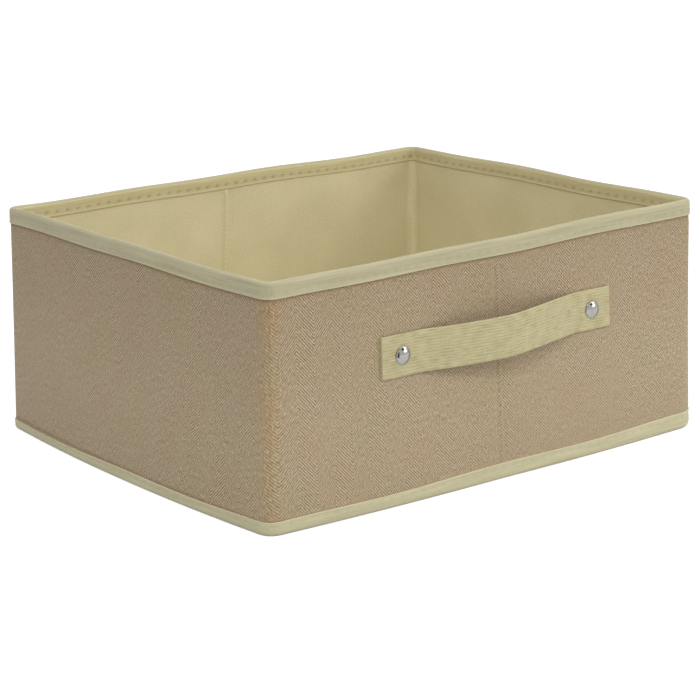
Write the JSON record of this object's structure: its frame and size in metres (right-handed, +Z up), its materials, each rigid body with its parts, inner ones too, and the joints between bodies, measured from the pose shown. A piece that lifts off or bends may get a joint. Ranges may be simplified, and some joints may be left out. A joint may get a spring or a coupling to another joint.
{
  "type": "collapsible fabric storage box",
  "caption": "Open fabric storage box with stiffened walls that fold in at creases, a folding floor, bound edges and a riveted webbing handle.",
  "frame": {"origin": "centre of the base, on the face the box stands on", "axes": "+X along the front wall, -Y towards the front with the handle, +Z up"},
  "size_m": [0.3662, 0.3045, 0.155],
  "materials": {
    "cover": "woven herringbone, matt",
    "lining": "smooth non-woven, matt",
    "binding_tape": "fine ribbed tape, slight sheen",
    "webbing": "ribbed cotton webbing",
    "board": "grey cardboard, matt",
    "rivet_metal": "polished"
  },
  "bodies": {
    "left_side": {"left_board": "board", "left_cover": "cover", "left_lining": "lining", "left_binding": "binding_tape", "front_left_corner_cover": "cover", "front_left_corner_lining": "lining", "front_left_corner_binding": "binding_tape", "back_left_corner_cover": "cover", "back_left_corner_lining": "lining", "back_left_corner_binding": "binding_tape", "floor_left_hinge_cloth": "cover"},
    "front_left": {"front_left_board": "board", "front_left_cover": "cover", "front_left_lining": "lining", "front_left_binding": "binding_tape", "front_crease_cover": "cover", "front_crease_lining": "lining", "front_crease_binding": "binding_tape", "strap_left_tab": "webbing", "rivet_left": "rivet_metal", "washer_left": "rivet_metal"},
    "front_right": {"front_right_board": "board", "front_right_cover": "cover", "front_right_lining": "lining", "front_right_binding": "binding_tape", "strap_right_tab": "webbing", "rivet_right": "rivet_metal", "washer_right": "rivet_metal"},
    "right_side": {"right_board": "board", "right_cover": "cover", "right_lining": "lining", "right_binding": "binding_tape", "front_right_corner_cover": "cover", "front_right_corner_lining": "lining", "front_right_corner_binding": "binding_tape", "back_right_corner_cover": "cover", "back_right_corner_lining": "lining", "back_right_corner_binding": "binding_tape", "floor_right_hinge_cloth": "cover"},
    "back_left": {"back_left_board": "board", "back_left_cover": "cover", "back_left_lining": "lining", "back_left_binding": "binding_tape", "back_crease_cover": "cover", "back_crease_lining": "lining", "back_crease_binding": "binding_tape"},
    "back_right": {"back_right_board": "board", "back_right_cover": "cover", "back_right_lining": "lining", "back_right_binding": "binding_tape"},
    "floor_left": {"floor_left_board": "board", "floor_left_cover": "cover", "floor_left_lining": "lining", "floor_crease_cloth": "cover"},
    "floor_right": {"floor_right_board": "board", "floor_right_cover": "cover", "floor_right_lining": "lining"},
    "handle_left": {"strap_left": "webbing"},
    "handle_right": {"strap_right": "webbing"}
  },
  "joints": [
    {"name": "fold", "type": "hinge", "parent": "left_side", "child": "front_left", "pos_m": [-0.1825, -0.145, 0.0775], "axis": [0, 0, 1], "range_deg": [0, 50], "deforming": ["front_left_corner_cover", "front_left_corner_lining", "front_left_corner_binding", "back_right_corner_cover", "back_right_corner_lining", "back_right_corner_binding", "floor_right_hinge_cloth"]},
    {"name": "front_crease", "type": "hinge", "parent": "front_left", "child": "front_right", "pos_m": [0, -0.1415, 0.0775], "axis": [0, 0, 1], "range_deg": [-100, 0], "deforming": ["front_crease_cover", "front_crease_lining", "front_crease_binding"]},
    {"name": "front_right_corner", "type": "hinge", "parent": "front_right", "child": "right_side", "pos_m": [0.1825, -0.145, 0.0775], "axis": [0, 0, 1], "range_deg": [0, 50], "deforming": ["front_right_corner_cover", "front_right_corner_lining", "front_right_corner_binding"]},
    {"name": "back_left_corner", "type": "hinge", "parent": "left_side", "child": "back_left", "pos_m": [-0.1825, 0.145, 0.0775], "axis": [0, 0, 1], "range_deg": [-50, 0], "deforming": ["back_left_corner_cover", "back_left_corner_lining", "back_left_corner_binding"]},
    {"name": "back_crease", "type": "hinge", "parent": "back_left", "child": "back_right", "pos_m": [0, 0.1415, 0.0775], "axis": [0, 0, 1], "range_deg": [0, 100], "deforming": ["back_crease_cover", "back_crease_lining", "back_crease_binding"]},
    {"name": "floor_left_hinge", "type": "hinge", "parent": "left_side", "child": "floor_left", "pos_m": [-0.1825, 0, 0.0035], "axis": [0, 1, 0], "range_deg": [0, 50], "deforming": ["floor_left_hinge_cloth"]},
    {"name": "floor_crease", "type": "hinge", "parent": "floor_left", "child": "floor_right", "pos_m": [0, 0, 0], "axis": [0, 1, 0], "range_deg": [-100, 0], "deforming": ["floor_crease_cloth"]},
    {"name": "handle_left_end", "type": "hinge", "parent": "front_left", "child": "handle_left", "pos_m": [-0.072, -0.1469, 0.097], "axis": [0, 0, 1], "range_deg": [-96.4, 0]},
    {"name": "handle_middle", "type": "hinge", "parent": "handle_left", "child": "handle_right", "pos_m": [0, -0.1573, 0.097], "axis": [0, 0, 1], "range_deg": [0, 92.8]}
  ],
  "couplings": [
    {"joint": "front_crease", "follows": "fold", "ratio": -2},
    {"joint": "front_right_corner", "follows": "fold", "ratio": 1},
    {"joint": "back_left_corner", "follows": "fold", "ratio": -1},
    {"joint": "back_crease", "follows": "fold", "ratio": 2},
    {"joint": "floor_left_hinge", "follows": "fold", "ratio": 1},
    {"joint": "floor_crease", "follows": "fold", "ratio": -2},
    {"joint": "handle_left_end", "follows": "fold", "ratio": -1.928},
    {"joint": "handle_middle", "follows": "fold", "ratio": 1.855}
  ]
}
